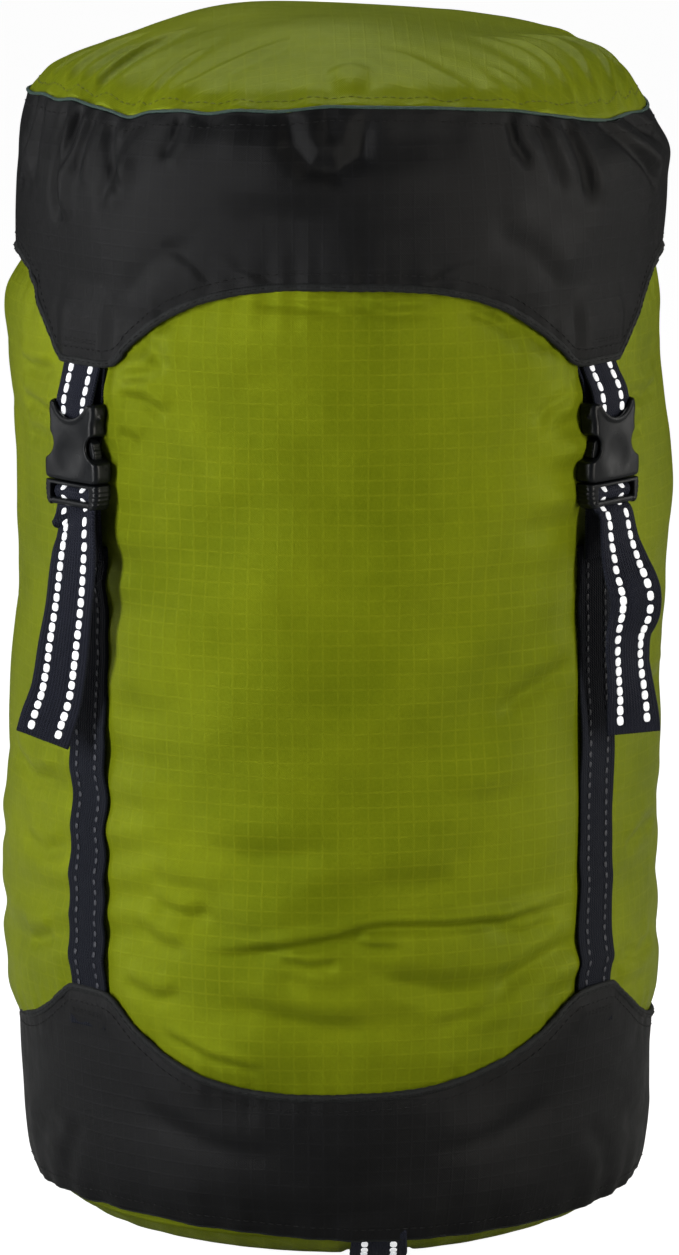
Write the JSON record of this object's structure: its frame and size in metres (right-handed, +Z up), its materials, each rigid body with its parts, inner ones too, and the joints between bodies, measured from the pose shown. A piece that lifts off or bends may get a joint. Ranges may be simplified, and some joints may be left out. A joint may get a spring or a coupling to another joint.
{
  "type": "compression sack",
  "caption": "Round stuff sack with a lift-off cap pulled down by webbing straps, side-release buckles and a drawcord mouth under the lid.",
  "frame": {"origin": "centre of the base on the surface the sack stands on", "axes": "+Z up along the sack, front towards -Y, +X to the right seen from the front"},
  "size_m": [0.2492, 0.2492, 0.454],
  "materials": {
    "green_fabric": "coated ripstop nylon, soft sheen",
    "black_fabric": "fine woven nylon, matte",
    "webbing": "woven polyester webbing",
    "binding_tape": "folded woven tape",
    "cord": "braided cord",
    "plastic": "moulded acetal, satin",
    "spring_steel": "drawn wire"
  },
  "bodies": {
    "root": {"base_panel": "green_fabric", "sack_tube": "green_fabric", "lower_cap_skirt": "black_fabric", "lower_edge_binding": "binding_tape", "base_grab_handle": "webbing", "strap_span_front_left": "webbing", "strap_span_front_right": "webbing", "strap_span_back_left": "webbing", "strap_span_back_right": "webbing"},
    "mouth": {"mouth_collar": "green_fabric", "drawcord": "cord", "drawcord_knot": "cord"},
    "cord_lock": {"cord_lock_barrel": "plastic", "cord_lock_spring": "spring_steel"},
    "cord_lock_button": {"cord_lock_plunger": "plastic"},
    "lid": {"lid_top_panel": "green_fabric", "upper_cap_skirt": "black_fabric", "upper_edge_binding": "binding_tape", "lid_strap_front_left": "webbing", "lid_strap_front_right": "webbing", "lid_strap_back_left": "webbing", "lid_strap_back_right": "webbing", "buckle_socket_front_left": "plastic", "buckle_socket_front_right": "plastic", "buckle_socket_back_left": "plastic", "buckle_socket_back_right": "plastic"},
    "clip_front_left": {"buckle_clip_front_left": "plastic", "strap_tail_front_left": "webbing"},
    "arm_front_left_left": {"clip_arm_front_left_left": "plastic"},
    "arm_front_left_right": {"clip_arm_front_left_right": "plastic"},
    "clip_front_right": {"buckle_clip_front_right": "plastic", "strap_tail_front_right": "webbing"},
    "arm_front_right_left": {"clip_arm_front_right_left": "plastic"},
    "arm_front_right_right": {"clip_arm_front_right_right": "plastic"},
    "clip_back_left": {"buckle_clip_back_left": "plastic", "strap_tail_back_left": "webbing"},
    "arm_back_left_left": {"clip_arm_back_left_left": "plastic"},
    "arm_back_left_right": {"clip_arm_back_left_right": "plastic"},
    "clip_back_right": {"buckle_clip_back_right": "plastic", "strap_tail_back_right": "webbing"},
    "arm_back_right_left": {"clip_arm_back_right_left": "plastic"},
    "arm_back_right_right": {"clip_arm_back_right_right": "plastic"}
  },
  "joints": [
    {"name": "compress", "type": "slide", "parent": "root", "child": "mouth", "axis": [0, 0, -1], "range_m": [0, 0.15], "deforming": ["sack_tube", "strap_span_front_left", "strap_span_front_right", "strap_span_back_left", "strap_span_back_right"]},
    {"name": "lid_lift", "type": "slide", "parent": "mouth", "child": "lid", "axis": [0, 0, 1], "range_m": [0, 0.14]},
    {"name": "cord_lock_slide", "type": "slide", "parent": "mouth", "child": "cord_lock", "axis": [0, 1, 0], "range_m": [0, 0.04]},
    {"name": "cord_lock_press", "type": "slide", "parent": "cord_lock", "child": "cord_lock_button", "axis": [0, 0, -1], "range_m": [0, 0.003], "stiffness_N_per_m": 300, "springref_m": -0.002, "deforming": ["cord_lock_spring"]},
    {"name": "release_front_left", "type": "slide", "parent": "mouth", "child": "clip_front_left", "axis": [0, 0, -1], "range_m": [0, 0.025], "deforming": ["clip_arm_front_left_left", "clip_arm_front_left_right"]},
    {"name": "squeeze_front_left_left", "type": "hinge", "parent": "clip_front_left", "child": "arm_front_left_left", "pos_m": [-0.10067, -0.07481, 0.2887], "axis": [0.766, 0.6428, 0], "range_deg": [0, 13], "stiffness_Nm_per_rad": 0.15},
    {"name": "squeeze_front_left_right", "type": "hinge", "parent": "clip_front_left", "child": "arm_front_left_right", "pos_m": [-0.09115, -0.08615, 0.2887], "axis": [-0.766, -0.6428, 0], "range_deg": [0, 13], "stiffness_Nm_per_rad": 0.15},
    {"name": "release_front_right", "type": "slide", "parent": "mouth", "child": "clip_front_right", "axis": [0, 0, -1], "range_m": [0, 0.025], "deforming": ["clip_arm_front_right_left", "clip_arm_front_right_right"]},
    {"name": "squeeze_front_right_left", "type": "hinge", "parent": "clip_front_right", "child": "arm_front_right_left", "pos_m": [0.09115, -0.08615, 0.2887], "axis": [-0.766, 0.6428, 0], "range_deg": [0, 13], "stiffness_Nm_per_rad": 0.15},
    {"name": "squeeze_front_right_right", "type": "hinge", "parent": "clip_front_right", "child": "arm_front_right_right", "pos_m": [0.10067, -0.07481, 0.2887], "axis": [0.766, -0.6428, 0], "range_deg": [0, 13], "stiffness_Nm_per_rad": 0.15},
    {"name": "release_back_left", "type": "slide", "parent": "mouth", "child": "clip_back_left", "axis": [0, 0, -1], "range_m": [0, 0.025], "deforming": ["clip_arm_back_left_left", "clip_arm_back_left_right"]},
    {"name": "squeeze_back_left_left", "type": "hinge", "parent": "clip_back_left", "child": "arm_back_left_left", "pos_m": [-0.09115, 0.08615, 0.2887], "axis": [0.766, -0.6428, 0], "range_deg": [0, 13], "stiffness_Nm_per_rad": 0.15},
    {"name": "squeeze_back_left_right", "type": "hinge", "parent": "clip_back_left", "child": "arm_back_left_right", "pos_m": [-0.10067, 0.07481, 0.2887], "axis": [-0.766, 0.6428, 0], "range_deg": [0, 13], "stiffness_Nm_per_rad": 0.15},
    {"name": "release_back_right", "type": "slide", "parent": "mouth", "child": "clip_back_right", "axis": [0, 0, -1], "range_m": [0, 0.025], "deforming": ["clip_arm_back_right_left", "clip_arm_back_right_right"]},
    {"name": "squeeze_back_right_left", "type": "hinge", "parent": "clip_back_right", "child": "arm_back_right_left", "pos_m": [0.10067, 0.07481, 0.2887], "axis": [-0.766, -0.6428, 0], "range_deg": [0, 13], "stiffness_Nm_per_rad": 0.15},
    {"name": "squeeze_back_right_right", "type": "hinge", "parent": "clip_back_right", "child": "arm_back_right_right", "pos_m": [0.09115, 0.08615, 0.2887], "axis": [0.766, 0.6428, 0], "range_deg": [0, 13], "stiffness_Nm_per_rad": 0.15}
  ]
}
